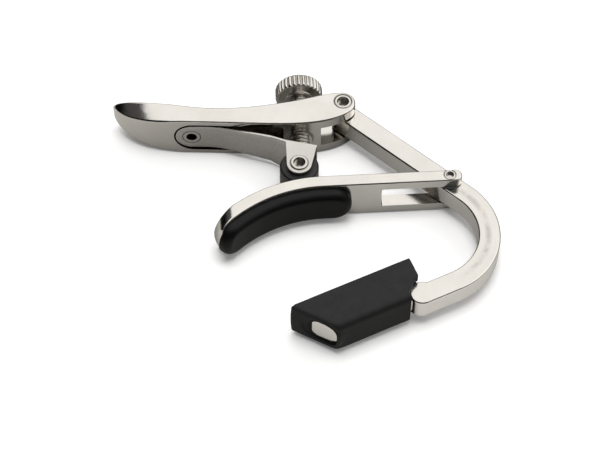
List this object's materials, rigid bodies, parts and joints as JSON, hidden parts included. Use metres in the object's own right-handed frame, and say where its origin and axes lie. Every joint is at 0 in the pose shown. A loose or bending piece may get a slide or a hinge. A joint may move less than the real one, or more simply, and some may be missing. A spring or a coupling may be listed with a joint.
{
  "type": "guitar capo",
  "caption": "Roller-lever capo: hooked metal frame with a rubber string pad, pivoting padded saddle and a lever whose sprung roller locks over centre, set by a thumb screw.",
  "frame": {"origin": "centre of the bounding box on the resting plane, with the capo lying on its side and its lever closed", "axes": "+X along the string pad towards the hook, +Y from the string pad towards the neck pad, +Z along the two pivots"},
  "size_m": [0.085, 0.1042, 0.0152],
  "materials": {
    "polished_metal": "polished",
    "spring_steel": "polished",
    "rivet_metal": "polished",
    "screw_metal": "polished",
    "bushing_metal": "satin",
    "washer_plastic": "satin",
    "cap_plastic": "satin",
    "roller_plastic": "satin",
    "sleeve_rubber": "matte",
    "pad_rubber": "satin"
  },
  "bodies": {
    "frame": {"frame_bar": "polished_metal", "string_pad_sleeve": "sleeve_rubber"},
    "lever": {"lever": "polished_metal", "lever_bushing": "bushing_metal", "lever_pivot_rivet": "rivet_metal", "lever_pivot_washers": "washer_plastic", "leaf_arm_rivet": "rivet_metal"},
    "saddle": {"saddle": "polished_metal", "neck_pad": "pad_rubber", "saddle_pivot_rivet": "rivet_metal", "saddle_pivot_washers": "washer_plastic"},
    "arm": {"leaf_arm": "spring_steel", "roller_axle": "rivet_metal", "roller_washers": "washer_plastic"},
    "roller": {"roller": "roller_plastic"},
    "screw_tip": {"screw_tip_cap": "cap_plastic"},
    "screw": {"adjusting_screw": "screw_metal"}
  },
  "joints": [
    {"name": "lever_swing", "type": "hinge", "parent": "frame", "child": "lever", "pos_m": [0.01938, 0.01986, 0.0076], "axis": [0, 0, -1], "range_deg": [0, 120]},
    {"name": "saddle_swing", "type": "hinge", "parent": "frame", "child": "saddle", "pos_m": [0.03545, -0.01781, 0.0076], "axis": [0, 0, 1], "range_deg": [0, 26]},
    {"name": "arm_flex", "type": "hinge", "parent": "lever", "child": "arm", "pos_m": [-0.01654, 0.0282, 0.0076], "axis": [0, 0, 1], "range_deg": [0, 9.4], "deforming": ["leaf_arm"]},
    {"name": "roller_spin", "type": "hinge", "parent": "arm", "child": "roller", "pos_m": [-0.00209, 0.00536, 0.0076], "axis": [0, 0, 1], "continuous": true},
    {"name": "screw_feed", "type": "slide", "parent": "lever", "child": "screw_tip", "axis": [0.3907, 0.9205, 0], "range_m": [0, 0.0039]},
    {"name": "screw_turn", "type": "hinge", "parent": "screw_tip", "child": "screw", "pos_m": [0.00779, 0.02541, 0.0076], "axis": [0.3907, 0.9205, 0], "range_deg": [0, 1080]}
  ],
  "couplings": [
    {"joint": "screw_feed", "follows": "screw_turn", "m_per_rad": 0.00020213},
    {"joint": "arm_flex", "follows": "screw_turn", "ratio": 0.0085135}
  ]
}
